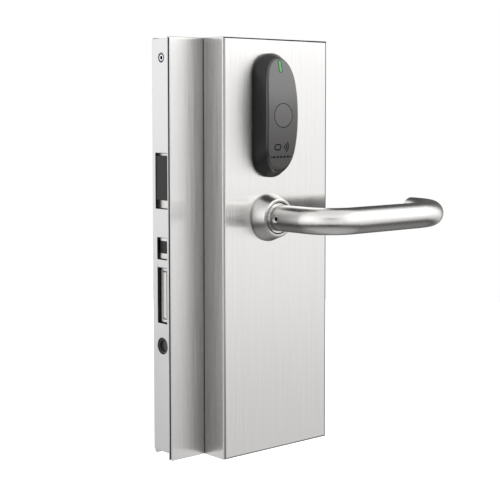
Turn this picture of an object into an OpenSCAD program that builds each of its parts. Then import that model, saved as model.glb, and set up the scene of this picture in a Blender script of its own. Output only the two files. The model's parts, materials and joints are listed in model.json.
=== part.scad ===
// Electronic lock set for a glass door: card reader, battery box, clutch, mortise lock and two levers.
// Origin: lever axis, in the middle of the glass. +X points to the hinges, +Y into the room, +Z up.

/* [Front box] */
// Width of the box
body_w = 106; // [100:1:112]
// Height of the box and of the plates
body_h = 316; // [312:1:322]
// Depth of the box in front of its plate
body_d = 24; // [23:0.5:27]
// Sheet thickness of the box
sheet_t = 1.5; // [1.2:0.1:1.8]
// How far the plate runs out beside the box
wing_w = 31; // [28:0.5:33]
// Lever axis from the left side of the box
axis_from_left = 44.5; // [43:0.5:46]
// Lever axis above the bottom of the box
axis_from_bottom = 180.5; // [178:0.5:182]

/* [Card reader] */
// Width of the reader
reader_w = 34; // [33:0.5:36]
// Height of the reader
reader_h = 94; // [94:1:100]
// Thickness of the black base
reader_base_t = 3.8; // [3:0.2:4.4]
// How far the middle of the face stands out from the box
reader_proud = 16.7; // [15.5:0.1:18]
// Centre of the reader above the lever axis
reader_z = 77.5; // [75:0.5:80]
// Diameter of the wake button
button_d = 17.4; // [16:0.2:19]

/* [Levers] */
// Diameter of the lever tube
tube_d = 20; // [19:0.5:21]
// Wall of the lever tube
tube_wall = 2; // [1.5:0.5:3]
// Axis of the grip in front of the box
grip_proud = 66; // [62:1:70]
// Lever axis to the axis of the returned end
grip_reach = 136; // [125:1:140]
// Bend radius at the neck
neck_bend = 23; // [20:1:26]
// Bend radius at the free end
end_bend = 40; // [34:1:42]
// Straight stretch after the end bend
end_tail = 5; // [3:0.5:8]
// Foot radius of the rose
rose_r = 18.4; // [17.5:0.1:20]
// Rim radius of the rose
rose_rim_r = 14.7; // [14:0.1:15.5]
// Height of the rose
rose_h = 12; // [10:0.5:13]

/* [Mortise lock] */
// Distance from the face of the forend to the lever axis
backset = 72; // [71:0.5:73]
// Width of the forend
forend_w = 23; // [22:0.5:24]
// Thickness of the forend
forend_t = 3; // [2.5:0.5:3]

/* [Glass clamp] */
// Thickness of the glass
glass_t = 8; // [6:1:10]
// Thickness of each rubber pad
pad_t = 2; // [1.5:0.5:3]

/* [Hidden] */
$fn = 64;
eps = 0.01;

// Outlines in X and Z
box_x0 = -axis_from_left;
box_x1 = body_w - axis_from_left;
wing_x0 = box_x0 - wing_w;
bottom_z = -axis_from_bottom;
top_z = body_h - axis_from_bottom;
forend_x0 = -backset;
forend_x1 = forend_x0 + forend_t;

// Layers in Y, from the glass outwards on the front
zone_y = forend_w / 2;
chassis_t = 1.2;
gasket_t = 1.8;
skin_t = 1;
seal_t = 0.8;
chassis_y = -zone_y - chassis_t;
gasket_y = chassis_y - gasket_t;
skin_y = gasket_y - skin_t;
box_y = skin_y - body_d;
seal_y = skin_y - seal_t;
inner_y = box_y + sheet_t;

// Front box: folds, rounded ends, end caps and their screws
fold_r = 2;
end_r = 1.3;
cap_inset = 1.2;
cap_gap = 0.1;
cap_lip = 10;
cover_screw_x = [box_x0 + 14, box_x1 - 14];
cover_screw_y = skin_y - 7;
wire_hole_x = -20;
wire_hole_r = 5;

// Card reader: foot, face and dome, light window, board and button stem
reader_foot_y = box_y - reader_base_t;
reader_face_y = box_y - reader_proud;
reader_wall = 2;
reader_window = [12, 60];
dome_r = 184;
face_half_w = 15.4;
face_half_h = 39.7;
face_power = 2.5;
light_z = reader_z + 36.8;
light_size = [2.8, 9.2];
reader_board_y = reader_foot_y - 3;
reader_board_half = [11, 36];
board_t = 1.6;
stem_r = 2.5;
stem_end_y = reader_board_y - 3.3;

// Control board: x and z ranges, then its parts as x from, x to, z from, z to, height
board_y = skin_y - 5;
board_top_y = board_y - board_t;
board_x = [-38, 54];
board_z = [-88, -34];
post_inset = 5;
post_r = 3;
chips = [
    [-10, 6, -70, -54, 1.5],
    [18, 28, -66, -50, 1.2],
    [-32, -12, -44, -37, 6],
    [34, 48, -80, -73, 7]
];
capacitor_x = [-28, -20];
capacitor_z = -76;
capacitor_r = 3.5;
capacitor_h = 9;

// Three AA cells and their holder
cell_r = 7.25;
cell_pitch = 15.6;
cell_x = 8.5;
cell_z = [-160, -110.8];
cell_tip = [2.7, 1.3];
cell_y = skin_y - 10;
holder_wall = 2;
holder_z = [cell_z[0] - 5, cell_z[1] + 7];

// Layers in Y on the rear
rear_plate_t = 3;
rear_y = zone_y + rear_plate_t;
rear_cover_d = 14;
rear_cover_y = rear_y + rear_cover_d;
rear_x0 = forend_x1;
rear_cover_x0 = -58;
rear_cover_inset = 3;

// Shaft sizes and clearances
running = 0.05;
free_gap = 0.35;
collar_r = tube_d / 2 + 1.4;
rose_bore_r = collar_r + 0.7;
spindle_side = 7.9;
socket_side = 8.1;
spindle_hole_r = 11;
grub_r = 3;
grub_y = -18;

// Clutch between the outside lever and the main spindle, layers in Y
dog_y = -30;
dog_t = 4;
dog_r = 12;
dog_pin_r = 2;
dog_pin_at = 8;
dog_pin_len = 1.2;
groove_y = dog_y + 1;
groove_t = 1.8;
groove_depth = 2.2;
fork_t = 1;
fork_y = groove_y + (groove_t - fork_t) / 2;
fork_half_h = 15;
fork_neck_x = 14;
fork_neck_half_h = 6;
hub_y = -24.4;
hub_t = 3.5;
hub_neck_r = 7.5;
bearing_r = 20;
solenoid_x = 28;
solenoid_r = 7;
solenoid_y = [-36.5, -30.8];
plunger_r = 2;
plunger_y = -34.5;

// Forend openings: lower end, upper end, half width
latch_gate = [7.5, 49.5, 7.75];
aux_gate = [-30.7, -14.1, 6.1];
dead_gate = [-79, -36.8, 5.6];
gate_gap = 0.4;
latch_recess = 3;
aux_recess = 2;
dead_recess = 2.4;
latch_insert_z = [14, 47.4];
aux_insert_z = [-26.1, -16.8];
insert_depth = 6;
sensor_z = -96.2;
sensor_r = 6.1;
forend_screw_z = 120.5;
forend_foot_z = -160;
forend_z0 = bottom_z + 3.5;
forend_z1 = top_z - 0.7;

// Lock case
case_wall = 1.5;
case_x1 = 27.5;
case_z0 = -112;
case_z1 = 62;
case_screw_r = 2;

// Latch drive inside the case: follower arm, retractor plate and pin, tail and spring of the latch
follower_r = 9.5;
follower_half = 9.6;
arm_y = [4, 8];
arm_half_w = 3;
arm_reach = 18;
plate_y = [0.6, 3.6];
retractor_x = [-32, -20, 3.4, 8.4];
retractor_z = [12.6, 24, 30, 34];
retractor_pin_x = -26;
retractor_pin_r = 1.7;
tail_z = 29;
tail_x = [-40, -4];
tail_y = [-3, 0];
tail_slot_x = [-34, -7.6];
latch_spring_at = [-37.5, 5.5, 42];
latch_rod_end = -22;

// Deadbolt drive: tail of the bolt, slot for the crank pin, cam and thumbturn
thumb_z = -72;
crank_xz = 10;
dead_tail_x = [-27.7, 15];
dead_tail_y = [-3, 0.4];
dead_tail_z = [-70, -46];
crank_slot_half = 2.9;
crank_slot_z = [-69, -54];
cam_y = [1.2, 9.8];
cam_r = 8;
cam_arm_t = 3;
cam_square = 6.1;
thumb_square = 5.9;
thumb_hole_r = 6;

// Forend screw and its countersink
forend_screw_r = 2;
countersink_r = 3.7;
countersink_h = 1.8;

// Clamp blocks: x from, x to, z from, z to
clamp_areas = [
    [-54, 60, 72, 134],
    [-54, 60, -177, -118],
    [33, 60, -112, 66]
];
clamp_x = [-30, 40];
clamp_z = [103, -148];
bush_r = 8;
clamp_screw_r = 3;
block_y = glass_t / 2 + pad_t;

// Screws that hold the lock case: x and z
case_screw_xz = [[-34, 56], [18, 56], [-34, -100], [18, -100]];

// A block between two corners
module block(a, b) {
    translate(a) cube(b - a);
}

// Round bars along the three axes
module bar_x(r, x0, x1, y = 0, z = 0) {
    translate([x0, y, z]) rotate([0, 90, 0]) cylinder(r = r, h = x1 - x0);
}
module bar_y(r, y0, y1, x = 0, z = 0) {
    translate([x, y0, z]) rotate([-90, 0, 0]) cylinder(r = r, h = y1 - y0);
}
module bar_z(r, z0, z1, x = 0, y = 0) {
    translate([x, y, z0]) cylinder(r = r, h = z1 - z0);
}

// Cone along Y, with its own radius at each end
module cone_y(r0, r1, y0, y1, x = 0, z = 0) {
    translate([x, y0, z]) rotate([-90, 0, 0]) cylinder(r1 = r0, r2 = r1, h = y1 - y0);
}

// Square bar along Y
module square_bar_y(side, y0, y1) {
    block([-side / 2, y0, -side / 2], [side / 2, y1, side / 2]);
}

// Hexagonal socket cut along Y or X
module hex_y(across, y0, y1, x = 0, z = 0) {
    translate([x, y0, z]) rotate([-90, 0, 0]) cylinder(d = across * 2 / sqrt(3), h = y1 - y0, $fn = 6);
}
module hex_x(across, x0, x1, y = 0, z = 0) {
    translate([x0, y, z]) rotate([0, 90, 0]) cylinder(d = across * 2 / sqrt(3), h = x1 - x0, $fn = 6);
}

// Row of round wires, a coil seen as closed turns, along Y
module coil_y(r, wire_r, y0, pitch, turns) {
    for (i = [0 : turns - 1])
        translate([0, y0 + i * pitch, 0]) rotate([90, 0, 0])
            rotate_extrude() translate([r, 0]) circle(r = wire_r, $fn = 16);
}

// Holes that run through all three front plates
module plate_holes() {
    bar_y(spindle_hole_r, skin_y - 1, -zone_y + 1);
    bar_y(wire_hole_r, skin_y - 1, -zone_y + 1, wire_hole_x, sensor_z);
    for (p = case_screw_xz) bar_y(case_screw_r + 0.2, skin_y - 1, -zone_y + 1, p[0], p[1]);
}

module wing_plate() {
    color("gainsboro") difference() {
        block([wing_x0, skin_y, bottom_z], [box_x1, gasket_y, top_z]);
        plate_holes();
    }
}

module plate_gasket() {
    inset = 0.7;
    color("black") difference() {
        block([wing_x0 + inset, gasket_y, bottom_z + inset],
              [box_x1 - inset, chassis_y, top_z - inset]);
        plate_holes();
    }
}

module chassis_plate() {
    color("silver") difference() {
        block([wing_x0, chassis_y, bottom_z], [box_x1, -zone_y, top_z]);
        plate_holes();
        for (x = clamp_x, z = clamp_z)
            bar_y(clamp_screw_r + running, chassis_y - 1, -zone_y + 1, x, z);
    }
}

module cover_seal() {
    outer = 0.6;
    inner = 2.4;
    color("black") difference() {
        block([box_x0 + outer, seal_y, bottom_z + outer], [box_x1 - outer, skin_y, top_z - outer]);
        block([box_x0 + inner, seal_y - 1, bottom_z + inner],
              [box_x1 - inner, skin_y + 1, top_z - inner]);
    }
}

// Box section with rounded front corners, drawn along the first axis
module front_rounded(a0, a1, y0, y1, r) {
    translate([a0 + r, y0]) square([a1 - a0 - 2 * r, y1 - y0]);
    translate([a0, y0 + r]) square([a1 - a0, y1 - y0 - r]);
    for (a = [a0 + r, a1 - r]) translate([a, y0 + r]) circle(r = r);
}

module front_cover() {
    wiring = [7, 24];
    color("gainsboro") difference() {
        intersection() {
            translate([0, 0, bottom_z]) linear_extrude(body_h)
                front_rounded(box_x0, box_x1, box_y, seal_y, fold_r);
            translate([box_x0 - 1, 0, 0]) rotate([90, 0, 90]) linear_extrude(body_w + 2)
                mirror([1, -1]) front_rounded(bottom_z, top_z, box_y, seal_y, end_r);
        }
        block([box_x0 + sheet_t, inner_y, bottom_z - 1], [box_x1 - sheet_t, seal_y + 1, top_z + 1]);
        bar_y(rose_bore_r + 3, box_y - 1, inner_y + 1);
        block([-wiring[0], box_y - 1, reader_z - wiring[1]],
              [wiring[0], inner_y + 1, reader_z + wiring[1]]);
    }
}

module end_caps() {
    color("gainsboro") for (s = [0, 1]) {
        z = s == 0 ? bottom_z + cap_inset : top_z - cap_inset - sheet_t;
        lip_z = s == 0 ? z : z + sheet_t - cap_lip;
        difference() {
            union() {
                block([box_x0 + sheet_t + cap_gap, inner_y + cap_gap, z],
                      [box_x1 - sheet_t - cap_gap, seal_y, z + sheet_t]);
                block([box_x0 + sheet_t + cap_gap, inner_y + cap_gap, lip_z],
                      [box_x1 - sheet_t - cap_gap, inner_y + cap_gap + sheet_t, lip_z + cap_lip]);
            }
            if (s == 0) for (x = cover_screw_x) bar_z(1.7, z - 1, z + sheet_t + 1, x, cover_screw_y);
        }
    }
}

module cover_brackets() {
    side = 12;
    color("silver") for (x = cover_screw_x, s = [0, 1]) {
        z = s == 0 ? bottom_z + cap_inset + sheet_t : top_z - cap_inset - sheet_t - side;
        difference() {
            block([x - side / 2, skin_y - side, z], [x + side / 2, skin_y, z + side]);
            if (s == 0) bar_z(1.5, z - 1, z + side + 1, x, cover_screw_y);
        }
    }
}

module cover_screws() {
    seat_z = bottom_z + cap_inset;
    head_h = 1.1;
    color("dimgray") for (x = cover_screw_x) difference() {
        union() {
            bar_z(2.8, seat_z - head_h, seat_z, x, cover_screw_y);
            bar_z(1.45, seat_z, bottom_z + 12, x, cover_screw_y);
        }
        translate([x, cover_screw_y, bottom_z - 1]) cylinder(d = 2.4, h = 1.8, $fn = 6);
    }
}

// Long outline with round ends, standing in the XZ plane, as a solid along Y
module stadium_y(w, h, y0, y1, z = 0) {
    block([-w / 2, y0, z - h / 2 + w / 2], [w / 2, y1, z + h / 2 - w / 2]);
    for (s = [-1, 1]) bar_y(w / 2, y0, y1, 0, z + s * (h - w) / 2);
}

module reader_base() {
    color([0.05, 0.05, 0.06]) difference() {
        stadium_y(reader_w, reader_h, reader_foot_y, box_y, reader_z);
        stadium_y(reader_window[0], reader_window[1], reader_foot_y - 1, box_y + 1, reader_z);
    }
}

// Oval between an ellipse and a rectangle
function oval(a, b, n, count) = [
    for (i = [0 : count - 1])
        let (t = i * 360 / count, c = cos(t), s = sin(t))
            [a * sign(c) * pow(abs(c), 2 / n), b * sign(s) * pow(abs(s), 2 / n)]
];

// Large cylinder across the reader whose front is the domed face, set back by a gap
module dome(back) {
    translate([-reader_w, reader_face_y + dome_r + back, reader_z]) rotate([0, 90, 0])
        cylinder(r = dome_r, h = 2 * reader_w, $fn = 256);
}

// Column through the light window between two layers
module light_column(y0, y1) {
    half_w = light_size[0] / 2;
    half_h = light_size[1] / 2;
    block([-half_w, y0, light_z - half_h], [half_w, y1, light_z + half_h]);
}

// Drafted and domed body of the reader, shrunk by a wall thickness
module reader_body(shrink) {
    round_r = reader_w / 2 - shrink;
    intersection() {
        hull() {
            translate([0, reader_foot_y, reader_z]) rotate([90, 0, 0]) linear_extrude(eps)
                hull() for (s = [-1, 1])
                    translate([0, s * (reader_h - reader_w) / 2]) circle(r = round_r, $fn = 48);
            translate([0, reader_face_y, reader_z]) rotate([90, 0, 0]) linear_extrude(eps)
                polygon(oval(face_half_w - shrink, face_half_h - shrink, face_power, 64));
        }
        dome(shrink);
    }
}

module reader_housing() {
    color([0.25, 0.25, 0.26]) difference() {
        reader_body(0);
        translate([0, eps, 0]) reader_body(reader_wall);
        bar_y(button_d / 2 + free_gap, reader_face_y - 1, reader_face_y + 6, 0, reader_z);
        light_column(reader_face_y - 1, reader_foot_y + 1);
    }
}

module light_pipe() {
    color("limegreen") intersection() {
        light_column(reader_face_y - 1, reader_face_y + 9);
        dome(0.1);
    }
}

module reader_board() {
    half_w = reader_board_half[0];
    half_h = reader_board_half[1];
    color("darkgreen") difference() {
        block([-half_w, reader_board_y, reader_z - half_h],
              [half_w, reader_board_y + board_t, reader_z + half_h]);
        for (s = [-1, 1])
            bar_y(1.6, reader_board_y - 1, reader_board_y + 3, 0, reader_z + s * (half_h - 4));
    }
}

module antenna_coil() {
    coil = [21, 56];
    band = 3;
    color("peru") difference() {
        stadium_y(coil[0], coil[1], reader_board_y - 0.8, reader_board_y, reader_z);
        stadium_y(coil[0] - 2 * band, coil[1] - 2 * band, reader_board_y - 2, reader_board_y + 1, reader_z);
    }
}

module tact_switch() {
    half = 3;
    body_y = reader_board_y - 1.6;
    color("dimgray") {
        block([-half, body_y, reader_z - half], [half, reader_board_y, reader_z + half]);
        bar_y(1.6, body_y - 0.8, body_y, 0, reader_z);
    }
}

module wake_button() {
    disc_t = 1.6;
    color([0.34, 0.34, 0.35]) {
        intersection() {
            bar_y(button_d / 2, reader_face_y - 1, reader_face_y + disc_t, 0, reader_z);
            dome(0);
        }
        bar_y(stem_r, reader_face_y + disc_t - 0.1, stem_end_y, 0, reader_z);
    }
}

module control_board() {
    post_x = [board_x[0] + post_inset, board_x[1] - post_inset];
    post_z = [board_z[0] + post_inset, board_z[1] - post_inset];
    color("darkgreen") {
        block([board_x[0], board_top_y, board_z[0]], [board_x[1], board_y, board_z[1]]);
        for (x = post_x, z = post_z) bar_y(post_r, board_y - eps, skin_y, x, z);
    }
}

module board_components() {
    color([0.1, 0.1, 0.1]) {
        for (c = chips) block([c[0], board_top_y - c[4], c[2]], [c[1], board_top_y, c[3]]);
        for (x = capacitor_x)
            bar_y(capacitor_r, board_top_y - capacitor_h, board_top_y, x, capacitor_z);
    }
}

module battery_holder() {
    half_w = 1.5 * cell_pitch + holder_wall;
    front_y = cell_y - 4;
    color([0.12, 0.12, 0.13]) difference() {
        block([cell_x - half_w, front_y, holder_z[0]], [cell_x + half_w, skin_y, holder_z[1]]);
        block([cell_x - half_w + holder_wall, front_y - 1, holder_z[0] + holder_wall],
              [cell_x + half_w - holder_wall, skin_y - holder_wall, holder_z[1] - holder_wall]);
    }
}

module batteries() {
    color("goldenrod") for (i = [-1 : 1]) {
        x = cell_x + i * cell_pitch;
        bar_z(cell_r, cell_z[0], cell_z[1], x, cell_y);
        bar_z(cell_tip[0], cell_z[1], cell_z[1] + cell_tip[1], x, cell_y);
    }
}

// Conical rose that stands on a wall at y = 0 and points to -Y
module rose() {
    lip = 0.6;
    foot_h = 1.2;
    difference() {
        union() {
            cone_y(rose_rim_r - lip, rose_rim_r, -rose_h, -rose_h + lip);
            cone_y(rose_rim_r, rose_r, -rose_h + lip, -foot_h);
            bar_y(rose_r, -foot_h, 0);
        }
        bar_y(rose_bore_r, -rose_h - 1, 1);
    }
}

module outside_rose() {
    color("silver") translate([0, box_y, 0]) rose();
}

module inside_rose() {
    color("silver") translate([0, rear_cover_y, 0]) mirror([0, 1, 0]) rose();
}

module bush() {
    difference() {
        bar_y(rose_bore_r, -rose_h + 3, sheet_t);
        bar_y(collar_r + running, -rose_h, sheet_t + 1);
    }
}

module lever_bushes() {
    color([0.1, 0.1, 0.11]) {
        translate([0, box_y, 0]) bush();
        translate([0, rear_cover_y, 0]) mirror([0, 1, 0]) bush();
    }
}

// Tube section, drawn at its distance from the bend axis
module tube_ring(at) {
    translate([at, 0]) difference() {
        circle(r = tube_d / 2);
        circle(r = tube_d / 2 - tube_wall);
    }
}

// U-form lever on a wall at y = 0, reaching to +X and pointing to -Y
module lever() {
    tube_r = tube_d / 2;
    bore_r = tube_r - tube_wall;
    neck_end = grip_proud - neck_bend;
    tail_end = grip_proud - end_bend - end_tail;
    plug_t = 4;
    edge = 1.5;
    difference() {
        union() {
            bar_y(tube_r, -neck_end, -rose_h + 0.5);
            bar_y(collar_r, -rose_h + 0.5, sheet_t + 0.5);
        }
        bar_y(bore_r, -neck_end - 1, -neck_end + 12);
        square_bar_y(socket_side, -neck_end, sheet_t + 2);
        bar_x(grub_r, -tube_r - 1, 0, grub_y, 0);
    }
    translate([neck_bend, -neck_end, 0]) rotate([0, 0, 180])
        rotate_extrude(angle = 90) tube_ring(neck_bend);
    difference() {
        bar_x(tube_r, neck_bend, grip_reach - end_bend, -grip_proud);
        bar_x(bore_r, neck_bend - 1, grip_reach - end_bend + 1, -grip_proud);
    }
    translate([grip_reach - end_bend, -grip_proud + end_bend, 0]) rotate([0, 0, -90])
        rotate_extrude(angle = 90) tube_ring(end_bend);
    difference() {
        union() {
            bar_y(tube_r, -tail_end - end_tail, -tail_end - edge, grip_reach);
            cone_y(tube_r, tube_r - edge, -tail_end - edge, -tail_end, grip_reach);
        }
        bar_y(bore_r, -tail_end - end_tail - 1, -tail_end - plug_t, grip_reach);
    }
}

module grub_screw() {
    outer_x = -tube_d / 2 + 1.4;
    socket = 2.9;
    difference() {
        bar_x(grub_r - running, outer_x, -spindle_side / 2 - 0.1, grub_y);
        hex_x(socket, outer_x - 1.4, -spindle_side / 2 - 2, grub_y);
    }
}

module outside_lever() {
    color("silver") translate([0, box_y, 0]) lever();
}

module outside_grub_screw() {
    color("dimgray") translate([0, box_y, 0]) grub_screw();
}

module inside_lever() {
    color("silver") translate([0, rear_cover_y, 0]) mirror([0, 1, 0]) lever();
}

module inside_grub_screw() {
    color("dimgray") translate([0, rear_cover_y, 0]) mirror([0, 1, 0]) grub_screw();
}

module outside_spindle() {
    color("dimgray") square_bar_y(spindle_side, box_y - 40, hub_y - 0.6);
}

module clutch_dog() {
    end_y = dog_y + dog_t;
    color("slategray") difference() {
        union() {
            bar_y(dog_r, dog_y, end_y);
            for (s = [-1, 1]) bar_y(dog_pin_r, end_y - eps, end_y + dog_pin_len, s * dog_pin_at, 0);
        }
        difference() {
            bar_y(dog_r + 1, groove_y, groove_y + groove_t);
            bar_y(dog_r - groove_depth, dog_y, end_y);
        }
        square_bar_y(socket_side, dog_y - 1, end_y + 2);
    }
}

module clutch_fork() {
    end_x = solenoid_x + 5;
    slot_r = dog_r - groove_depth + free_gap + 0.2;
    mouth = dog_r - 1.5;
    color("slategray") {
        difference() {
            block([-2, fork_y, -fork_half_h], [end_x, fork_y + fork_t, fork_half_h]);
            bar_y(slot_r, fork_y - 1, fork_y + fork_t + 1);
            block([-14, fork_y - 1, -mouth], [0, fork_y + fork_t + 1, mouth]);
            for (s = [0, 1]) mirror([0, 0, s])
                block([fork_neck_x, fork_y - 1, fork_neck_half_h],
                      [end_x + 1, fork_y + fork_t + 1, fork_half_h + 1]);
        }
        bar_y(plunger_r, plunger_y, fork_y + eps, solenoid_x, 0);
    }
}

module clutch_solenoid() {
    back_y = solenoid_y[0];
    front_y = solenoid_y[1];
    bracket_x = [solenoid_x + 4, solenoid_x + 16];
    bracket_half_h = 8;
    bracket_t = 4;
    color("darkslategray") {
        difference() {
            bar_y(solenoid_r, back_y, front_y, solenoid_x, 0);
            bar_y(plunger_r + free_gap, plunger_y - 0.5, front_y + 1, solenoid_x, 0);
        }
        difference() {
            block([bracket_x[0], back_y, -bracket_half_h], [bracket_x[1], skin_y, bracket_half_h]);
            bar_y(solenoid_r, back_y - 1, skin_y + 1, solenoid_x, 0);
            block([bracket_x[0] - 1, front_y, -bracket_half_h - 1],
                  [bracket_x[1] - bracket_t, skin_y - 2, bracket_half_h + 1]);
        }
    }
}

module clutch_hub() {
    color("slategray") difference() {
        union() {
            bar_y(dog_r, hub_y, hub_y + hub_t);
            bar_y(hub_neck_r, hub_y + hub_t - eps, skin_y + 1);
        }
        for (s = [-1, 1]) bar_y(dog_pin_r + 0.6, hub_y - 1, hub_y + 2.2, s * dog_pin_at, 0);
        square_bar_y(socket_side, hub_y + 1, skin_y + 2);
    }
}

module clutch_bearing() {
    color("silver") difference() {
        bar_y(bearing_r, hub_y + hub_t + free_gap, skin_y);
        bar_y(hub_neck_r + free_gap, hub_y - 1, skin_y + 1);
    }
}

module lever_return_spring() {
    color("gray") coil_y(9.5, 0.9, -36, 2, 3);
}

module main_spindle() {
    color("dimgray") square_bar_y(spindle_side, hub_y + 1.2, rear_cover_y + 40);
}

// Follower: hub of the mortise lock with the arm that draws the retractor
module follower() {
    color("darkgray") difference() {
        union() {
            bar_y(follower_r, -follower_half, follower_half);
            block([-arm_half_w, arm_y[0], 5], [arm_half_w, arm_y[1], arm_reach]);
            bar_y(arm_half_w, arm_y[0], arm_y[1], 0, arm_reach);
        }
        square_bar_y(socket_side, -zone_y - 0.5, zone_y + 0.5);
    }
}

module latch_retractor() {
    x = retractor_x;
    z = retractor_z;
    color("darkkhaki") {
        block([x[0], plate_y[0], z[1]], [x[1], plate_y[1], z[3]]);
        block([x[1] - eps, plate_y[0], z[1]], [x[3], plate_y[1], z[2]]);
        block([x[2], plate_y[0], z[0]], [x[3], arm_y[1], z[1] + eps]);
        bar_y(retractor_pin_r, -3.4, plate_y[0] + eps, retractor_pin_x, tail_z);
    }
}

// Head that fills one forend opening, from its recess to a depth
module bolt_head(gate, recess, depth) {
    half = gate[2] - gate_gap;
    x = forend_x0 + recess;
    block([x, -half, gate[0] + gate_gap], [x + depth, half, gate[1] - gate_gap]);
}

// Black insert in a bolt's head, between two heights and from a place in X
module bolt_insert(gate, recess, z, x, side) {
    half = gate[2] - gate_gap + side;
    block([x, -half, z[0]], [forend_x0 + recess + insert_depth, half, z[1]]);
}

module latch_bolt() {
    slot_half = retractor_pin_r + 0.4;
    rod = latch_spring_at;
    color("lightgray") {
        difference() {
            bolt_head(latch_gate, latch_recess, 29);
            bolt_insert(latch_gate, latch_recess, latch_insert_z, forend_x0, 1);
        }
        difference() {
            block([tail_x[0] - eps, tail_y[0], tail_z - 5], [tail_x[1], tail_y[1], tail_z + 5]);
            block([tail_slot_x[0], tail_y[0] - 1, tail_z - slot_half],
                  [tail_slot_x[1], tail_y[1] + 1, tail_z + slot_half]);
        }
        bar_x(1.6, tail_x[0] - eps, latch_rod_end, rod[1], rod[2]);
    }
}

module latch_insert() {
    color([0.08, 0.08, 0.08])
        bolt_insert(latch_gate, latch_recess, latch_insert_z, forend_x0 + gate_gap, 0);
}

module latch_spring() {
    turns = 7;
    color("gray") translate(latch_spring_at) rotate([0, 0, -90]) coil_y(3, 0.5, 0, 2.4, turns);
}

module aux_latch() {
    color("lightgray") {
        difference() {
            bolt_head(aux_gate, aux_recess, 24);
            bolt_insert(aux_gate, aux_recess, aux_insert_z, forend_x0, 1);
        }
        block([forend_x0 + aux_recess + 24 - eps, -2.5, -25], [-28, 2.5, -20]);
    }
}

module aux_insert() {
    color([0.08, 0.08, 0.08])
        bolt_insert(aux_gate, aux_recess, aux_insert_z, forend_x0 + aux_recess, 0);
}

module deadbolt() {
    rim = 2.2;
    groove = rim + 1;
    groove_end = 2;
    half = dead_gate[2] - gate_gap;
    x = forend_x0 + dead_recess;
    z0 = dead_gate[0] + gate_gap;
    z1 = dead_gate[1] - gate_gap;
    color("lightgray") {
        difference() {
            bolt_head(dead_gate, dead_recess, 42);
            difference() {
                block([x - 1, -half + rim, z0 + rim], [x + groove_end, half - rim, z1 - rim]);
                block([x - 2, -half + groove, z0 + groove],
                      [x + groove_end + 1, half - groove, z1 - groove]);
            }
        }
        difference() {
            block([dead_tail_x[0], dead_tail_y[0], dead_tail_z[0]],
                  [dead_tail_x[1], dead_tail_y[1], dead_tail_z[1]]);
            block([crank_xz - crank_slot_half, dead_tail_y[0] - 1, crank_slot_z[0]],
                  [crank_xz + crank_slot_half, dead_tail_y[1] + 1, crank_slot_z[1]]);
        }
    }
}

module deadbolt_cam() {
    arm = crank_xz * sqrt(2);
    arm_end_y = cam_y[0] + cam_arm_t;
    color("darkkhaki") translate([0, 0, thumb_z]) difference() {
        union() {
            bar_y(cam_r, cam_y[0], cam_y[1]);
            rotate([0, 45, 0]) {
                block([-cam_r / 2, cam_y[0], 0], [cam_r / 2, arm_end_y, arm]);
                bar_y(cam_r / 2, cam_y[0], arm_end_y, 0, arm);
                bar_y(2, -3.2, cam_y[0] + eps, 0, arm);
            }
        }
        square_bar_y(cam_square, 3, zone_y + 0.5);
    }
}

module thumbturn() {
    grip_w = 8;
    grip_r = 13;
    disc_end_y = rear_cover_y + 6;
    grip_end_y = rear_cover_y + 20;
    color("silver") translate([0, 0, thumb_z]) {
        square_bar_y(thumb_square, 3.2, rear_cover_y + 1);
        bar_y(11, rear_cover_y + 0.4, disc_end_y);
        intersection() {
            block([-grip_w / 2, disc_end_y - 0.1, -20], [grip_w / 2, grip_end_y, 20]);
            bar_y(grip_r, disc_end_y - 1, grip_end_y + 1);
        }
    }
}

module door_sensor() {
    face_x = forend_x0 + 0.8;
    rim = 1.25;
    ring_r = sensor_r - 0.15;
    color([0.15, 0.15, 0.16]) difference() {
        bar_x(ring_r, face_x, forend_x1 + 14, 0, sensor_z);
        bar_x(ring_r - rim, forend_x0, face_x + 1.8, 0, sensor_z);
    }
}

// Opening of the forend for one bolt
module gate_cut(gate) {
    block([forend_x0 - 1, -gate[2], gate[0]], [forend_x1 + case_wall + 1, gate[2], gate[1]]);
}

module forend_cuts() {
    gate_cut(latch_gate);
    gate_cut(aux_gate);
    gate_cut(dead_gate);
    bar_x(sensor_r, forend_x0 - 1, forend_x1 + case_wall + 1, 0, sensor_z);
}

module forend() {
    color("lightgray") difference() {
        block([forend_x0, -zone_y, forend_z0], [forend_x1, zone_y, forend_z1]);
        forend_cuts();
        translate([forend_x0 - eps, 0, forend_screw_z]) rotate([0, 90, 0])
            cylinder(r1 = countersink_r, r2 = forend_screw_r + 0.1, h = countersink_h);
        bar_x(forend_screw_r + 0.1, forend_x0 - 1, forend_x1 + 1, 0, forend_screw_z);
    }
}

module forend_screw() {
    sink = 0.15;
    head_h = countersink_h - 0.1;
    color("dimgray") difference() {
        union() {
            translate([forend_x0 + sink, 0, forend_screw_z]) rotate([0, 90, 0])
                cylinder(r1 = countersink_r - sink, r2 = forend_screw_r, h = head_h);
            bar_x(forend_screw_r, forend_x0 + head_h + 0.1, forend_x1 + 8.5, 0, forend_screw_z);
        }
        hex_x(2.5, forend_x0 - 1, forend_x0 + 1.6, 0, forend_screw_z);
    }
}

module forend_brackets() {
    depth = 9.5;
    half_h = 9;
    hole_r = forend_screw_r + running;
    color("silver") difference() {
        for (z = [forend_screw_z, forend_foot_z])
            block([forend_x1, -zone_y, z - half_h], [forend_x1 + depth, zone_y, z + half_h]);
        bar_x(hole_r, forend_x1 - 1, forend_x1 + depth + 1, 0, forend_screw_z);
    }
}

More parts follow.
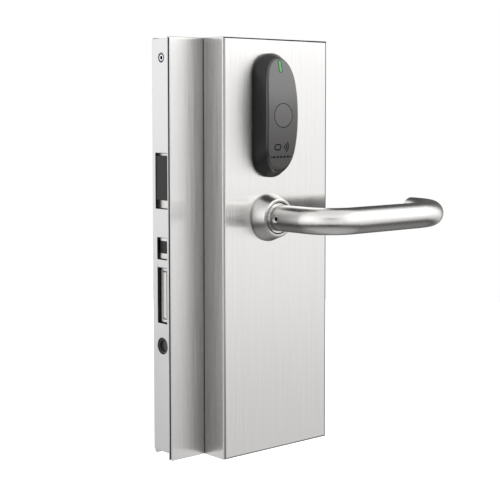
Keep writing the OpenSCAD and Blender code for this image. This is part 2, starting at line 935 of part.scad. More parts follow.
module lock_case() {
    color("silver") difference() {
        block([forend_x1, -zone_y + case_wall, case_z0], [case_x1, zone_y, case_z1]);
        block([forend_x1 + case_wall, -zone_y, case_z0 + case_wall],
              [case_x1 - case_wall, zone_y - case_wall, case_z1 - case_wall]);
        forend_cuts();
        bar_y(follower_r + free_gap, 0, zone_y + 1);
        bar_y(thumb_hole_r, 0, zone_y + 1, 0, thumb_z);
    }
}

module case_cover() {
    color("silver") difference() {
        block([forend_x1, -zone_y, case_z0], [case_x1, -zone_y + case_wall, case_z1]);
        bar_y(follower_r + free_gap, -zone_y - 1, 0);
        bar_y(wire_hole_r, -zone_y - 1, 0, wire_hole_x, sensor_z);
        for (p = case_screw_xz) bar_y(case_screw_r + running, -zone_y - 1, 0, p[0], p[1]);
    }
}

module case_screws() {
    head_h = 2.4;
    color("dimgray") for (p = case_screw_xz) difference() {
        union() {
            bar_y(3.5, skin_y - head_h, skin_y, p[0], p[1]);
            bar_y(case_screw_r, skin_y - eps, -zone_y + case_wall + 5, p[0], p[1]);
        }
        hex_y(2.5, skin_y - head_h - 0.6, skin_y - 1, p[0], p[1]);
    }
}

// Clamp blocks or pads on the front side, between two distances from the middle of the glass
module clamp_layer(near, far, hole_r) {
    for (a = clamp_areas) difference() {
        block([a[0], -far, a[2]], [a[1], -near, a[3]]);
        for (x = clamp_x, z = clamp_z) bar_y(hole_r, -far - 1, -near + 1, x, z);
    }
}

module clamp_blocks_front() {
    color("darkgray") clamp_layer(block_y, zone_y, clamp_screw_r + 0.3);
}

module clamp_blocks_rear() {
    color("darkgray") mirror([0, 1, 0]) clamp_layer(block_y, zone_y, clamp_screw_r + 0.3);
}

module glass_pads_front() {
    color([0.15, 0.15, 0.15]) clamp_layer(glass_t / 2, block_y, bush_r + 0.3);
}

module glass_pads_rear() {
    color([0.15, 0.15, 0.15]) mirror([0, 1, 0]) clamp_layer(glass_t / 2, block_y, bush_r + 0.3);
}

module glass_bushes() {
    color("whitesmoke") for (x = clamp_x, z = clamp_z) difference() {
        bar_y(bush_r, -block_y, block_y, x, z);
        bar_y(clamp_screw_r + 0.3, -block_y - 1, block_y + 1, x, z);
    }
}

module clamp_screws() {
    head_r = 5;
    head_h = 4;
    socket = 5;
    color("dimgray") for (x = clamp_x, z = clamp_z) difference() {
        union() {
            bar_y(head_r, rear_y, rear_y + head_h, x, z);
            bar_y(clamp_screw_r, chassis_y, rear_y + eps, x, z);
        }
        hex_y(socket, rear_y + 1.5, rear_y + head_h + 1, x, z);
    }
}

module rear_plate() {
    color("gainsboro") difference() {
        block([rear_x0, zone_y, bottom_z], [box_x1, rear_y, top_z]);
        bar_y(spindle_hole_r, zone_y - 1, rear_y + 1);
        bar_y(thumb_hole_r, zone_y - 1, rear_y + 1, 0, thumb_z);
        for (x = clamp_x, z = clamp_z) bar_y(clamp_screw_r + 0.3, zone_y - 1, rear_y + 1, x, z);
    }
}

module rear_cover() {
    wall = 1.2;
    x0 = rear_cover_x0;
    x1 = box_x1 - rear_cover_inset;
    z0 = bottom_z + rear_cover_inset;
    z1 = top_z - rear_cover_inset;
    color("gainsboro") difference() {
        intersection() {
            translate([0, 0, z0]) linear_extrude(z1 - z0) mirror([0, 1])
                front_rounded(x0, x1, -rear_cover_y, -rear_y, fold_r);
            translate([x0 - 1, 0, 0]) rotate([90, 0, 90]) linear_extrude(x1 - x0 + 2)
                mirror([1, 0]) mirror([1, -1]) front_rounded(z0, z1, -rear_cover_y, -rear_y, fold_r);
        }
        block([x0 + wall, rear_y - 1, z0 + wall], [x1 - wall, rear_cover_y - sheet_t, z1 - wall]);
        bar_y(rose_bore_r + 3, rear_y, rear_cover_y + 1);
        bar_y(thumb_hole_r, rear_y, rear_cover_y + 1, 0, thumb_z);
    }
}

wing_plate();
plate_gasket();
chassis_plate();
cover_seal();
front_cover();
end_caps();
cover_brackets();
cover_screws();
reader_base();
reader_housing();
light_pipe();
reader_board();
antenna_coil();
tact_switch();
wake_button();
control_board();
board_components();
battery_holder();
batteries();
outside_rose();
lever_bushes();
outside_lever();
outside_grub_screw();
outside_spindle();
lever_return_spring();
clutch_dog();
clutch_fork();
clutch_solenoid();
clutch_hub();
clutch_bearing();
main_spindle();
follower();
latch_retractor();
latch_bolt();
latch_insert();
latch_spring();
aux_latch();
aux_insert();
deadbolt();
deadbolt_cam();
thumbturn();
door_sensor();
forend();
forend_screw();
forend_brackets();
lock_case();
case_cover();
case_screws();
clamp_blocks_front();
clamp_blocks_rear();
glass_pads_front();
glass_pads_rear();
glass_bushes();
clamp_screws();
rear_plate();
rear_cover();
inside_rose();
inside_lever();
inside_grub_screw();
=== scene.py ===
"""Looks of an electronic glass-door lock set with an oval card reader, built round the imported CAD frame.

Sizes are in metres, in the row frame: origin on the lever axis, +X to the hinges, +Y into the room, +Z up.
"""

import json
import math

import bmesh
import bpy
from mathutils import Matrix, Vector


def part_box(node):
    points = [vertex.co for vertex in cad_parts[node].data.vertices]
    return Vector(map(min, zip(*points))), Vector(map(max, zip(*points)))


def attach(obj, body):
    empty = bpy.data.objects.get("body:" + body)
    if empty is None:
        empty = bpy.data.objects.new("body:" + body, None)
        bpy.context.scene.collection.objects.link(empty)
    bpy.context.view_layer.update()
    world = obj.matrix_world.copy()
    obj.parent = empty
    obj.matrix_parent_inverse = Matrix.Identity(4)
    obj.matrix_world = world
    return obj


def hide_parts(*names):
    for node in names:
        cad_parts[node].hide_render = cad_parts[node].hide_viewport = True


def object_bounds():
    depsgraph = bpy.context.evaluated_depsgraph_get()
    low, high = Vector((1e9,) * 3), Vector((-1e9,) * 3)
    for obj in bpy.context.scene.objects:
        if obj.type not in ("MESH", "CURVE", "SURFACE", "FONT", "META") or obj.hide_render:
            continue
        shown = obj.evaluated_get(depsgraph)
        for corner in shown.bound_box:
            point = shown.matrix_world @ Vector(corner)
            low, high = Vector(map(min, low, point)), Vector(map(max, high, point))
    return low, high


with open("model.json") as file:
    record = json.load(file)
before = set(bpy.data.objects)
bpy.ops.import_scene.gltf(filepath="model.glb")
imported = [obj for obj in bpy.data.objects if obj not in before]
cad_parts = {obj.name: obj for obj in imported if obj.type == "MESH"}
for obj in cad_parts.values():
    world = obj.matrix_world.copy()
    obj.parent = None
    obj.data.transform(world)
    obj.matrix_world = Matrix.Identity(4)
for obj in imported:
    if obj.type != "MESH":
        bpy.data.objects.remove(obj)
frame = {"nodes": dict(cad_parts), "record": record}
CAD_BOUNDS = [list(corner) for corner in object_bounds()]
NODES = frame["nodes"]
SLOT_OF = {part["node"]: part["material_slot"] for part in frame["record"]["subparts"]}
MM = 0.001


# ---------------------------------------------------------------- materials

# Painted shade on the sheet's folds and the forend's punched edges, and how dark it gets. The first range
# is in cosines to the nearest flat face, from dark to light, and the second in the normal's X, from light
# to dark.
PAINTED_EDGE_DARK, PAINTED_FOLD_RANGE = 0.05, (0.9985, 0.99999)
PAINTED_PUNCH_DARK, PAINTED_PUNCH_RANGE = 0.12, (-0.995, -0.90)
# Rings of painted shade in a screw's socket and head groove, as (distance from the middle, factor). The rim
# is at 0.5.
PAINTED_SOCKET_RINGS = ((0.26, 0.03), (0.30, 1.0))
PAINTED_COUNTERSUNK_RINGS = ((0.20, 0.01), (0.22, 1.0), (0.32, 1.0), (0.34, 0.02), (0.46, 0.02), (0.48, 1.0))


def node(tree, kind, **values):
    """Adds a shader node and sets its properties."""
    made = tree.nodes.new(kind)
    for key, value in values.items():
        setattr(made, key, value)
    return made


def noise(tree, scale, detail=3.0, rough=0.55):
    """Noise in the object's own metres, stretched by a scale per axis."""
    where = node(tree, "ShaderNodeTexCoord")
    stretch = node(tree, "ShaderNodeMapping")
    stretch.inputs["Scale"].default_value = scale
    made = node(tree, "ShaderNodeTexNoise", noise_dimensions="3D")
    made.inputs["Scale"].default_value = 1.0
    made.inputs["Detail"].default_value = detail
    made.inputs["Roughness"].default_value = rough
    tree.links.new(where.outputs["Object"], stretch.inputs["Vector"])
    tree.links.new(stretch.outputs["Vector"], made.inputs["Vector"])
    return made.outputs["Fac"]


def spread(tree, fac, low, high, from_low=0.3, from_high=0.7):
    """Maps a noise value onto a range."""
    made = node(tree, "ShaderNodeMapRange")
    for key, value in (("From Min", from_low), ("From Max", from_high), ("To Min", low), ("To Max", high)):
        made.inputs[key].default_value = value
    tree.links.new(fac, made.inputs["Value"])
    return made.outputs["Result"]


def math_node(tree, operation, first, second=0.0):
    """Math node on two inputs, each a link or a number."""
    made = node(tree, "ShaderNodeMath", operation=operation)
    for socket, value in zip(made.inputs, (first, second)):
        if isinstance(value, (int, float)):
            socket.default_value = value
        else:
            tree.links.new(value, socket)
    return made.outputs["Value"]


def shaded(tree, colour, fac):
    """A colour times a link."""
    times = node(tree, "ShaderNodeVectorMath", operation="SCALE")
    tree.links.new(colour, times.inputs[0])
    tree.links.new(fac, times.inputs["Scale"])
    return times.outputs["Vector"]


def painted_fold_shade(tree):
    """Factor of painted shade: dark reflections on the folds and edges of a sheet part, except those that
    face -X.
    """
    where = node(tree, "ShaderNodeTexCoord")
    split = node(tree, "ShaderNodeSeparateXYZ")
    tree.links.new(where.outputs["Normal"], split.inputs["Vector"])
    across = math_node(tree, "MAXIMUM", split.outputs["X"])
    upright = math_node(tree, "ABSOLUTE", split.outputs["Z"])
    both = math_node(tree, "ADD", math_node(tree, "MULTIPLY", across, across),
                     math_node(tree, "MULTIPLY", upright, upright))
    rest = math_node(tree, "SQRT", math_node(tree, "SUBTRACT", 1.0, both))
    flat = math_node(tree, "MAXIMUM", rest, math_node(tree, "MAXIMUM", across, upright))
    return spread(tree, flat, PAINTED_EDGE_DARK, 1.0, *PAINTED_FOLD_RANGE)


def painted_punched_shade(tree):
    """Factor of painted shade on punched edges, where the cut walls lie in shade: all but the face toward
    -X.
    """
    where = node(tree, "ShaderNodeTexCoord")
    split = node(tree, "ShaderNodeSeparateXYZ")
    tree.links.new(where.outputs["Normal"], split.inputs["Vector"])
    return spread(tree, split.outputs["X"], 1.0, PAINTED_PUNCH_DARK, *PAINTED_PUNCH_RANGE)


def grey_ramp(tree, fac, stops, blend="LINEAR"):
    """Ramp through grey (position, value) stops."""
    ramp = node(tree, "ShaderNodeValToRGB")
    ramp.color_ramp.interpolation = blend
    elements = ramp.color_ramp.elements
    while len(elements) < len(stops):
        elements.new(0.5)
    for element, (at, value) in zip(elements, stops):
        element.position = at
        element.color = (value, value, value, 1)
    tree.links.new(fac, ramp.inputs["Fac"])
    return ramp.outputs["Color"]


def screw_reach(tree):
    """Distance from the middle of a screw that points along X. Its rim is at 0.5."""
    where = node(tree, "ShaderNodeTexCoord")
    split = node(tree, "ShaderNodeSeparateXYZ")
    tree.links.new(where.outputs["Generated"], split.inputs["Vector"])
    offsets = [math_node(tree, "SUBTRACT", split.outputs[axis], 0.5) for axis in "YZ"]
    squares = [math_node(tree, "MULTIPLY", offset, offset) for offset in offsets]
    return math_node(tree, "SQRT", math_node(tree, "ADD", *squares))


def painted_socket_shade(tree):
    """Factor of painted shade in a screw's socket."""
    return grey_ramp(tree, screw_reach(tree), PAINTED_SOCKET_RINGS)


def painted_countersunk_shade(tree):
    """Factor of painted shade in a screw's socket and in the groove round its head."""
    return grey_ramp(tree, screw_reach(tree), PAINTED_COUNTERSUNK_RINGS)


def surface(name, colour, roughness, metallic=0.0, grain=(600, 600, 600), tint=0.05, wear=0.15,
            bump=0.1, depth=0.00002, broad_wear=0.5, edges=None, **sockets):
    """Principled surface whose colour, roughness and relief vary a little with a stretched noise.

    The shares tint and wear say how far colour and roughness vary. A function given as edges makes a
    factor of painted shade that darkens the colour and the tint where the shade is painted.
    """
    material = bpy.data.materials.new(name)
    material.use_nodes = True
    tree = material.node_tree
    shader = tree.nodes["Principled BSDF"]
    shader.inputs["Metallic"].default_value = metallic
    for key, value in sockets.items():
        shader.inputs[key.replace("_", " ")].default_value = value
    fine = noise(tree, grain)
    broad = noise(tree, [max(g / 40, 8) for g in grain], 2.0)
    mix = node(tree, "ShaderNodeMix", data_type="RGBA")
    mix.inputs["A"].default_value = [c * (1 - tint) for c in colour] + [1]
    mix.inputs["B"].default_value = [min(c * (1 + tint), 1) for c in colour] + [1]
    tree.links.new(spread(tree, fine, 0, 1), mix.inputs["Factor"])
    shade = mix.outputs["Result"]
    # Painted shade: the edges factor darkens both the base colour and the specular tint.
    if edges:
        fac = edges(tree)
        shade = shaded(tree, shade, fac)
        tree.links.new(fac, shader.inputs["Specular Tint"])
    tree.links.new(shade, shader.inputs["Base Color"])
    swing = roughness * wear * broad_wear
    both = math_node(tree, "ADD", spread(tree, fine, roughness * (1 - wear), roughness * (1 + wear)),
                     spread(tree, broad, -swing, swing))
    tree.links.new(both, shader.inputs["Roughness"])
    relief = node(tree, "ShaderNodeBump")
    relief.inputs["Strength"].default_value = bump
    relief.inputs["Distance"].default_value = depth
    tree.links.new(fine, relief.inputs["Height"])
    tree.links.new(relief.outputs["Normal"], shader.inputs["Normal"])
    return material


# Brushed steel with painted dark reflections on its folds and edges.
def brushed_steel():
    return surface("brushed_steel", (0.70, 0.692, 0.680), 0.245, metallic=1.0, grain=(950, 950, 18),
                   tint=0.045, wear=0.10, bump=1.0, depth=0.00005, broad_wear=0.1, edges=painted_fold_shade,
                   Anisotropic=1.0)


def satin_steel():
    return surface("satin_steel", (0.63, 0.62, 0.607), 0.26, metallic=1.0, grain=(900, 900, 900),
                   tint=0.02, wear=0.05, bump=0.03, Anisotropic=0.3)


# Forend steel with painted shade on the walls of its punched holes.
def forend_steel():
    return surface("forend_steel", (0.63, 0.63, 0.634), 0.36, metallic=1.0, grain=(1800, 1800, 60),
                   tint=0.02, wear=0.1, bump=0.12, edges=painted_punched_shade, Anisotropic=0.6)


def bolt_steel():
    return surface("bolt_steel", (0.65, 0.64, 0.63), 0.30, metallic=1.0, grain=(1500, 1500, 300),
                   tint=0.03, wear=0.1, bump=0.08, Anisotropic=0.3)


def rose_steel():
    return surface("rose_steel", (0.58, 0.57, 0.56), 0.30, metallic=1.0, grain=(900, 900, 900),
                   tint=0.02, wear=0.10, bump=0.08)


def plain_steel():
    return surface("plain_steel", (0.60, 0.605, 0.62), 0.42, metallic=1.0, grain=(350, 350, 350),
                   tint=0.08, wear=0.25, bump=0.15)


def screw_steel():
    return surface("screw_steel", (0.50, 0.495, 0.49), 0.30, metallic=1.0, grain=(1500, 1500, 1500),
                   tint=0.08, wear=0.2, bump=0.15)


# Bright screw steel with painted shade in its socket.
def bright_screw():
    return surface("bright_screw", (0.86, 0.855, 0.85), 0.42, metallic=1.0, grain=(1500, 1500, 1500),
                   tint=0.08, wear=0.2, bump=0.15, edges=painted_socket_shade)


# Forend screw steel with painted shade in its socket and in the groove round its head.
def forend_screw_steel():
    return surface("forend_screw_steel", (0.80, 0.80, 0.80), 0.40, metallic=1.0,
                   grain=(1500, 1500, 1500), tint=0.05, wear=0.2, bump=0.15, edges=painted_countersunk_shade)


def zinc():
    return surface("zinc", (0.52, 0.53, 0.55), 0.5, metallic=1.0, grain=(700, 700, 700), tint=0.1,
                   wear=0.25, bump=0.3)


def clamp_alloy():
    return surface("clamp_alloy", (0.66, 0.67, 0.69), 0.45, metallic=1.0, grain=(900, 900, 900),
                   tint=0.05, wear=0.2, bump=0.25)


def black_rubber():
    return surface("black_rubber", (0.018, 0.018, 0.019), 0.75, grain=(1500, 1500, 1500), tint=0.2,
                   wear=0.1, bump=0.3)


def black_plastic():
    return surface("black_plastic", (0.011, 0.010, 0.010), 0.45, grain=(900, 2500, 300), tint=0.3,
                   wear=0.2, bump=0.4, Specular_IOR_Level=0.3)


def reader_plastic():
    return surface("reader_plastic", (0.015, 0.012, 0.0115), 0.27, grain=(3500, 3500, 3500), tint=0.1,
                   wear=0.1, bump=0.25, Specular_IOR_Level=1.0)


def reader_side():
    return surface("reader_side", (0.009, 0.008, 0.008), 0.42, grain=(3500, 3500, 3500), tint=0.1,
                   wear=0.1, bump=0.25, Specular_IOR_Level=0.4)


def button_plastic():
    return surface("button_plastic", (0.040, 0.037, 0.036), 0.38, grain=(4200, 4200, 4200), tint=0.12,
                   wear=0.1, bump=0.3, Specular_IOR_Level=0.9)


def green_light():
    return surface("green_light", (0.02, 0.22, 0.04), 0.3, grain=(1500, 1500, 300), tint=0.3, wear=0.1,
                   bump=0.1, Emission_Color=(0.02, 0.55, 0.08, 1), Emission_Strength=0.25)


def sensor_plastic():
    return surface("sensor_plastic", (0.03, 0.03, 0.032), 0.33, grain=(1800, 1800, 1800), tint=0.2,
                   wear=0.15, bump=0.2)


def white_nylon():
    return surface("white_nylon", (0.78, 0.77, 0.73), 0.5, grain=(900, 900, 900), tint=0.03, wear=0.1,
                   bump=0.1)


def circuit_board():
    return surface("circuit_board", (0.02, 0.16, 0.06), 0.4, grain=(700, 700, 700), tint=0.25, wear=0.2,
                   bump=0.2)


def copper():
    return surface("copper", (0.80, 0.42, 0.24), 0.32, metallic=1.0, grain=(900, 900, 900), tint=0.08,
                   wear=0.2, bump=0.1)


def battery_jacket():
    return surface("battery_jacket", (0.10, 0.20, 0.42), 0.32, metallic=0.3, grain=(300, 300, 1500),
                   tint=0.08, wear=0.1, bump=0.1)


def mark_ink():
    return surface("mark_ink", (0.004, 0.004, 0.004), 0.6, grain=(3000, 3000, 3000), tint=0.3, wear=0.2,
                   bump=0.1, Specular_IOR_Level=0.1)


def floor_paint():
    return surface("floor_paint", (0.93, 0.93, 0.93), 0.9, grain=(3, 3, 3), tint=0.01, wear=0.05,
                   bump=0.02, Emission_Color=(1, 1, 1, 1), Emission_Strength=0.3)


MATERIALS = {make.__name__: make() for make in (
    brushed_steel, satin_steel, forend_steel, bolt_steel, plain_steel, screw_steel, zinc, clamp_alloy,
    black_rubber, black_plastic, reader_plastic, button_plastic, green_light, sensor_plastic,
    white_nylon, circuit_board, copper, battery_jacket)}
ROSE, SCREW = rose_steel(), bright_screw()
FINISHES = {"outside_rose": ROSE, "inside_rose": ROSE, "outside_grub_screw": SCREW,
            "inside_grub_screw": SCREW}


# ---------------------------------------------------------------- carried CAD nodes

# Width of the broken edges, in mm
BEVELS = {
    "wing_plate": 0.25, "chassis_plate": 0.3, "rear_plate": 0.4, "front_cover": 0.25, "rear_cover": 0.4,
    "end_caps": 0.25, "forend": 0.4, "latch_bolt": 0.35, "aux_latch": 0.35, "deadbolt": 0.35,
    "latch_insert": 0.4, "aux_insert": 0.4, "door_sensor": 0.3, "outside_rose": 0.35, "inside_rose": 0.35,
    "outside_lever": 0.25, "inside_lever": 0.25, "outside_grub_screw": 0.15, "inside_grub_screw": 0.15,
    "reader_base": 0.5, "wake_button": 0.3, "thumbturn": 0.5, "lock_case": 0.3, "case_cover": 0.3,
    "clamp_blocks_front": 0.4, "clamp_blocks_rear": 0.4, "cover_brackets": 0.3,
}


def split_edges(piece, degrees):
    """Flat shading across edges sharper than an angle."""
    split = piece.modifiers.new("split", "EDGE_SPLIT")
    split.split_angle = math.radians(degrees)


def carry(name):
    """Gives a CAD node its finish, welds its shading seams and breaks its sharp edges."""
    part = NODES[name]
    part.data.materials.clear()
    part.data.materials.append(FINISHES.get(name, MATERIALS[SLOT_OF[name]]))
    if "custom_normal" in part.data.attributes:
        part.data.attributes.remove(part.data.attributes["custom_normal"])
    part.data.shade_smooth()
    weld = part.modifiers.new("weld", "WELD")
    weld.merge_threshold = 1e-6
    if name in BEVELS:
        bevel = part.modifiers.new("bevel", "BEVEL")
        bevel.width = BEVELS[name] * MM
        bevel.segments = 2
        bevel.limit_method = "ANGLE"
        bevel.angle_limit = math.radians(35)
        bevel.miter_outer = "MITER_ARC"
        even = part.modifiers.new("normals", "WEIGHTED_NORMAL")
        even.weight = 80
    else:
        split_edges(part, 32)


# ---------------------------------------------------------------- card reader

BASE_LO, BASE_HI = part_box("reader_base")
BUTTON_LO, BUTTON_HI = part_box("wake_button")
LIGHT_LO, LIGHT_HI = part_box("light_pipe")
READER = (BASE_LO + BASE_HI) / 2
FACE_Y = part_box("reader_housing")[0].y
# Radius of the domed face, and points round the housing
DOME = 184 * MM
AROUND = 144
# Rings of the side wall below the soft edge, which has a duller finish
SIDE_RINGS = 5
# Gap round the button, depth of its well and the lean of the well's wall
WELL_GAP, WELL_DEPTH, WELL_LEAN = 0.55 * MM, 3 * MM, 0.012
# Width of the soft edge and its number of steps
SOFT_EDGE, EDGE_STEPS = 1.7 * MM, 7
# Shares of the way from the soft edge to the well at which the face has a ring
FACE_RINGS = (0.12, 0.3, 0.5, 0.7, 0.88, 0.97, 1.0)


def dome_y(z):
    """Y of the domed face at a height."""
    return FACE_Y + DOME - math.sqrt(DOME ** 2 - (z - READER.z) ** 2)


def foot_point(angle, half_w, half_h):
    """Point on the outline with round ends, seen from the reader's middle at an angle."""
    c, s = math.cos(angle), math.sin(angle)
    straight = half_h - half_w
    if abs(s) * half_w <= abs(c) * straight:
        return half_w * math.copysign(1, c), half_w * s / abs(c)
    up = straight * abs(s)
    reach = up + math.sqrt(max(up * up - straight * straight + half_w * half_w, 0))
    return reach * c, reach * s


def top_point(angle, half_w=15.4 * MM, half_h=39.7 * MM, power=2.5):
    """Point on the face's oval at an angle."""
    c, s = math.cos(angle), math.sin(angle)
    reach = ((abs(c) / half_w) ** power + (abs(s) / half_h) ** power) ** (-1 / power)
    return reach * c, reach * s


def wall_line(angle):
    """Foot point of the side wall and the point where it meets the dome."""
    fx, fz = foot_point(angle, (BASE_HI.x - BASE_LO.x) / 2, (BASE_HI.z - BASE_LO.z) / 2)
    tx, tz = top_point(angle)
    foot = Vector((fx, BASE_LO.y, READER.z + fz))
    top = Vector((tx, FACE_Y, READER.z + tz))
    low, high = 0.0, 1.0
    for _ in range(30):
        mid = (low + high) / 2
        point = foot.lerp(top, mid)
        if point.y > dome_y(point.z):
            low = mid
        else:
            high = mid
    return foot, foot.lerp(top, low)


def on_dome(x, z, lift=0.0):
    """Point on the domed face, or raised off it."""
    return Vector((x, dome_y(z) - lift, z))


def bridge(mesh, rings):
    """Faces between successive closed rings."""
    for a, b in zip(rings, rings[1:]):
        for i in range(len(a)):
            j = (i + 1) % len(a)
            mesh.faces.new((a[i], a[j], b[j], b[i]))


def as_object(name, mesh, material, body, smooth=True):
    """Turns a bmesh into an object that rides on a CAD body."""
    bmesh.ops.recalc_face_normals(mesh, faces=mesh.faces)
    data = bpy.data.meshes.new(name)
    mesh.to_mesh(data)
    mesh.free()
    if smooth:
        data.shade_smooth()
    made = bpy.data.objects.new(name, data)
    bpy.context.scene.collection.objects.link(made)
    data.materials.append(material)
    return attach(made, body)


def reader_shell():
    """Drafted oval housing with a soft edge round its domed face and a well for the button."""
    hole = (BUTTON_HI.x - BUTTON_LO.x) / 2 + WELL_GAP
    profiles = []
    for k in range(AROUND):
        angle = 2 * math.pi * k / AROUND
        foot, edge = wall_line(angle)
        start = edge + (foot - edge).normalized() * SOFT_EDGE
        inward = Vector((-edge.x, 0, READER.z - edge.z)).normalized() * SOFT_EDGE
        end = on_dome(edge.x + inward.x, edge.z + inward.z)
        column = [foot + Vector((0, 0.3 * MM, 0)), foot + (edge - foot) * 0.04]
        column += [foot.lerp(start, t) for t in (0.35, 0.7)]
        for step in range(EDGE_STEPS + 1):
            t = step / EDGE_STEPS
            column.append(start * (1 - t) ** 2 + edge * 2 * t * (1 - t) + end * t ** 2)
        cx, cz = hole * math.cos(angle), READER.z + hole * math.sin(angle)
        for t in FACE_RINGS:
            column.append(on_dome(end.x + (cx - end.x) * t, end.z + (cz - end.z) * t))
        for depth in (0.15 * MM, WELL_DEPTH):
            column.append(on_dome(cx, cz, -depth) + Vector((-cx, 0, READER.z - cz)) * WELL_LEAN)
        profiles.append(column)
    mesh = bmesh.new()
    rings = [[mesh.verts.new(column[r]) for column in profiles] for r in range(len(profiles[0]))]
    bridge(mesh, rings[:SIDE_RINGS])
    mesh.faces.new(rings[0])
    for face in mesh.faces:
        face.material_index = 1
    bridge(mesh, rings[SIDE_RINGS - 1:])
    mesh.faces.new(rings[-1])
    shell = as_object("reader_shell", mesh, MATERIALS["reader_plastic"], "lock_body")
    shell.data.materials.append(reader_side())
    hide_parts("reader_housing")
    split_edges(shell, 50)


def ribbon(mesh, points, width, lift, closed=False):
    """Flat raised strip on the dome along (x, z) points."""
    count = len(points)
    left, right = [], []
    for i, (x, z) in enumerate(points):
        before = points[i - 1] if i or closed else points[i]
        after = points[(i + 1) % count] if i < count - 1 or closed else points[i]
        along = Vector((after[0] - before[0], after[1] - before[1])).normalized()
        side = Vector((-along.y, along.x)) * width / 2
        left.append((x + side.x, z + side.y))
        right.append((x - side.x, z - side.y))
    rows = [[mesh.verts.new(on_dome(x, z, h)) for x, z in edge]
            for edge, h in ((left, -0.1 * MM), (left, lift), (right, lift), (right, -0.1 * MM))]
    last = count if closed else count - 1
    for a, b in zip(rows, rows[1:]):
        for i in range(last):
            j = (i + 1) % count
            mesh.faces.new((a[i], a[j], b[j], b[i]))


def arc(cx, cz, radius, start, end, count=14):
    """Points of an arc between two angles in degrees."""
    return [(cx + radius * math.cos(math.radians(start + (end - start) * i / count)),
             cz + radius * math.sin(math.radians(start + (end - start) * i / count)))
            for i in range(count + 1)]


def slot_outline(cx, cz, half_w, half_h, count=10):
    """Upright or lying outline with round ends."""
    r = min(half_w, half_h)
    points = []
    for k in range(4 * count):
        a = 2 * math.pi * (k + 0.5) / (4 * count)
        points.append((cx + math.copysign(half_w - r, math.cos(a)) + r * math.cos(a),
                       cz + math.copysign(half_h - r, math.sin(a)) + r * math.sin(a)))
    return points


def reader_marks():
    """Generic marks under the button: a card with three waves, and a row of dashes."""
    mesh = bmesh.new()
    z, lift, line = READER.z - 23.8 * MM, 0.04 * MM, 0.95 * MM
    ribbon(mesh, slot_outline(-4.2 * MM, z, 3.0 * MM, 2.0 * MM), line, lift, closed=True)
    for radius in (1.6, 3.5, 5.4):
        ribbon(mesh, arc(0.9 * MM, z, radius * MM, -42, 42), line, lift)
    row = READER.z - 31.2 * MM
    for k in range(5):
        middle = (k - 2) * 3.4 * MM
        ribbon(mesh, [(middle - 1.1 * MM, row), (middle + 1.1 * MM, row)], 1.5 * MM, lift)
    for side in (-1, 1):
        ribbon(mesh, [(side * 8.7 * MM, row), (side * 10.3 * MM, row)], line, lift)
    return as_object("reader_marks", mesh, mark_ink(), "lock_body", smooth=False)


def filled(mesh, outline, lift, skirt):
    """Closed pad on the dome with a small skirt into it."""
    top = [mesh.verts.new(on_dome(x, z, lift)) for x, z in outline]
    low = [mesh.verts.new(on_dome(x, z, -skirt)) for x, z in outline]
    bridge(mesh, [low, top])
    mesh.faces.new(top)
    mesh.faces.new(low)


def status_light():
    """Green window in a dark bezel near the top of the face."""
    centre = (LIGHT_LO + LIGHT_HI) / 2
    half_w, half_h = (LIGHT_HI.x - LIGHT_LO.x) / 2, (LIGHT_HI.z - LIGHT_LO.z) / 2
    inset = 0.2 * MM
    mesh = bmesh.new()
    filled(mesh, slot_outline(centre.x, centre.z, half_w - inset, half_h - inset), 0.06 * MM, 0.3 * MM)
    light = as_object("status_light", mesh, MATERIALS["green_light"], "lock_body", smooth=False)
    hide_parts("light_pipe")
    rim = bmesh.new()
    ribbon(rim, slot_outline(centre.x, centre.z, half_w, half_h), 0.6 * MM, 0.09 * MM, closed=True)
    as_object("light_bezel", rim, MATERIALS["black_plastic"], "lock_body", smooth=False)


# ---------------------------------------------------------------- forend screw

# Reach from the axis and depth below the head's face, in mm. The last two rings are hexagons.
SCREW_PROFILE = ((2.0, 11.35), (2.0, 1.7), (3.55, 0.05), (3.35, 0.0), (3.0, 0.4), (2.5, 0.4), (2.4, 0.0),
                 (1.25, 0.0), (1.25, 1.45))
SCREW_AROUND = 48


def socket_screw():
    """Countersunk screw along X with a groove round its head and a hex socket."""
    lo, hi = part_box("forend_screw")
    middle = (lo + hi) / 2
    mesh = bmesh.new()
    rings = []
    for row, (reach, depth) in enumerate(SCREW_PROFILE):
        x = lo.x + min(depth * MM, hi.x - lo.x)
        ring = []
        for k in range(SCREW_AROUND):
            angle = 2 * math.pi * k / SCREW_AROUND
            r = reach * MM
            if row >= len(SCREW_PROFILE) - 2:
                r /= math.cos(angle % (math.pi / 3) - math.pi / 6)
            at = (x, middle.y + r * math.cos(angle), middle.z + r * math.sin(angle))
            ring.append(mesh.verts.new(at))
        rings.append(ring)
    bridge(mesh, rings)
    mesh.faces.new(rings[0])
    mesh.faces.new(rings[-1])
    screw = as_object("socket_screw", mesh, forend_screw_steel(), "lock_body")
    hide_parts("forend_screw")
    split_edges(screw, 32)


# ---------------------------------------------------------------- stage

CAMERA_AT = (-0.63972, -0.76148, 0.08325)
CAMERA_YAW, CAMERA_DIP = 41.576, 3.724
LENS, SHIFT = 91.2, (-0.039, -0.1195)
FLOOR_R, FLOOR_GAP = 2.2, 0.22
# Brightness of the surround from straight down (0) to straight up (1)
SURROUND = ((0.0, 0.40), (0.10, 0.33), (0.16, 0.16), (0.26, 0.06), (0.37, 0.58), (0.46, 0.84), (0.54, 1.0),
            (0.66, 1.0), (0.84, 0.9), (1.0, 0.7))
GAIN = 1.53
# Dark zones of the surround: direction, inner and outer half-angle in degrees, factor
FLAGS = (((-0.65, -0.76, 0.0), 14, 46, 0.17), ((0.62, 0.70, 0.35), 34, 52, 0.06),
         ((-0.65, 0.76, 0.0), 15, 50, 0.98))


def camera():
    """Camera at the photo's viewing angle."""
    data = bpy.data.cameras.new("camera")
    data.sensor_width = 36
    data.lens = LENS
    data.shift_x, data.shift_y = SHIFT
    made = bpy.data.objects.new("camera", data)
    made.location = CAMERA_AT
    made.rotation_euler = (math.radians(90 - CAMERA_DIP), 0, math.radians(-CAMERA_YAW))
    bpy.context.scene.collection.objects.link(made)
    bpy.context.scene.camera = made


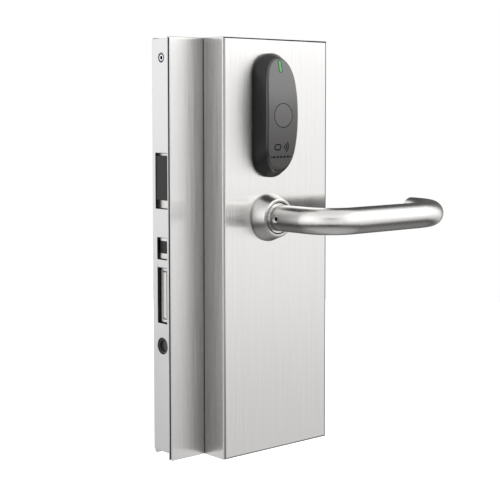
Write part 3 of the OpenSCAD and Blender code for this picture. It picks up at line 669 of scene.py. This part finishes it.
def floor():
    """Pale round floor below the lock."""
    mesh = bmesh.new()
    bmesh.ops.create_circle(mesh, cap_ends=True, segments=96, radius=FLOOR_R)
    data = bpy.data.meshes.new("floor")
    mesh.to_mesh(data)
    mesh.free()
    data.materials.append(floor_paint())
    made = bpy.data.objects.new("floor", data)
    made.location = (0, 0, CAD_BOUNDS[0][2] - FLOOR_GAP)
    made.visible_glossy = False
    bpy.context.scene.collection.objects.link(made)


def softbox(name, at, aim, width, height, power, only=()):
    """Soft rectangular light that points at a spot. It may light only some of the objects."""
    data = bpy.data.lights.new(name, "AREA")
    data.shape = "RECTANGLE"
    data.size, data.size_y = width, height
    data.energy = power
    made = bpy.data.objects.new(name, data)
    made.location = at
    made.rotation_mode = "QUATERNION"
    made.rotation_quaternion = (Vector(aim) - Vector(at)).to_track_quat("-Z", "Y")
    bpy.context.scene.collection.objects.link(made)
    if only:
        lit = bpy.data.collections.new(name + "_only")
        for piece in only:
            lit.objects.link(piece)
        made.light_linking.receiver_collection = lit


def dark_patch(tree, towards, value, inner, outer, darkness):
    """Multiplies a brightness down within a cone round a direction. Angles are half-angles in degrees."""
    direction = node(tree, "ShaderNodeTexCoord")
    dot = node(tree, "ShaderNodeVectorMath", operation="DOT_PRODUCT")
    dot.inputs[1].default_value = Vector(towards).normalized()
    tree.links.new(direction.outputs["Generated"], dot.inputs[0])
    ramp = node(tree, "ShaderNodeMapRange", interpolation_type="SMOOTHSTEP")
    for key, number in (("From Min", math.cos(math.radians(outer))), ("To Min", 1.0),
                        ("From Max", math.cos(math.radians(inner))), ("To Max", darkness)):
        ramp.inputs[key].default_value = number
    tree.links.new(dot.outputs["Value"], ramp.inputs["Value"])
    return math_node(tree, "MULTIPLY", ramp.outputs["Result"], value)


def studio():
    """White surround with darker zones that the steel reflects. The camera sees plain white."""
    world = bpy.data.worlds.new("studio")
    bpy.context.scene.world = world
    world.use_nodes = True
    tree = world.node_tree
    back = tree.nodes["Background"]
    direction = node(tree, "ShaderNodeTexCoord")
    split = node(tree, "ShaderNodeSeparateXYZ")
    tree.links.new(direction.outputs["Generated"], split.inputs["Vector"])
    height = node(tree, "ShaderNodeMapRange")
    height.inputs["From Min"].default_value = -1.0
    tree.links.new(split.outputs["Z"], height.inputs["Value"])
    value = math_node(tree, "MULTIPLY", grey_ramp(tree, height.outputs["Result"], SURROUND, "EASE"), GAIN)
    for towards, inner, outer, darkness in FLAGS:
        value = dark_patch(tree, towards, value, inner, outer, darkness)
    seen = node(tree, "ShaderNodeLightPath")
    mix = node(tree, "ShaderNodeMix", data_type="FLOAT")
    tree.links.new(seen.outputs["Is Camera Ray"], mix.inputs["Factor"])
    tree.links.new(value, mix.inputs["A"])
    mix.inputs["B"].default_value = 1.0
    tree.links.new(mix.outputs["Result"], back.inputs["Strength"])
    back.inputs["Color"].default_value = (1, 1, 1, 1)
    bpy.context.scene.view_settings.view_transform = "Standard"


def lights():
    """Key light from the right, weak fill from the left, and a softbox for the bends of the two levers."""
    softbox("key", (1.05, -1.2, 0.85), (0, 0, 0.05), 1.5, 1.3, 7.6)
    softbox("fill", (-1.3, 0.2, 0.5), (0, 0, 0), 0.8, 1.0, 0.5)
    softbox("bend", (-0.95, -1.12, 0.05), (0, -0.05, 0), 1.9, 1.05, 5.0,
            (NODES["outside_lever"], NODES["inside_lever"]))


# ---------------------------------------------------------------- build

for name in NODES:
    carry(name)
reader_shell()
reader_marks()
status_light()
socket_screw()
floor()
studio()
lights()
camera()
